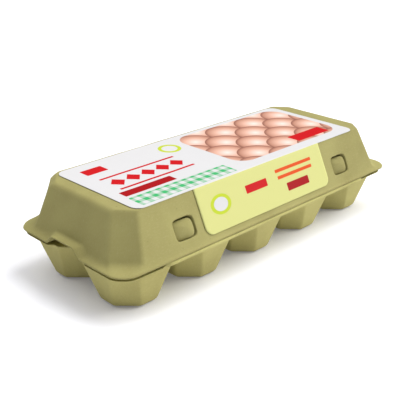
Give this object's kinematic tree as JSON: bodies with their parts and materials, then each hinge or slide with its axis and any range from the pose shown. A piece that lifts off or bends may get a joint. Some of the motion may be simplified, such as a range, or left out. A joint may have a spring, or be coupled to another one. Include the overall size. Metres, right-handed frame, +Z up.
{
  "type": "egg carton",
  "caption": "Shut carton of moulded pulp for two rows of eggs, with cup-shaped tray, latched lid, finger notches and a paper label folded over the front edge.",
  "frame": {"origin": "middle of the carton's box, on the plane that the cups' feet stand on", "axes": "+X along the carton, -Y is the side with the latches and the label's flap, +Y the hinge side, +Z up"},
  "size_m": [0.258, 0.106, 0.0616],
  "materials": {
    "pulp": "matt olive-yellow moulded pulp",
    "label_paper": "satin printed paper, white with a pale yellow-green front flap"
  },
  "bodies": {
    "root": {"tray": "pulp", "lid": "pulp", "latch_tab_left": "pulp", "latch_tab_right": "pulp", "label": "label_paper"}
  },
  "joints": []
}
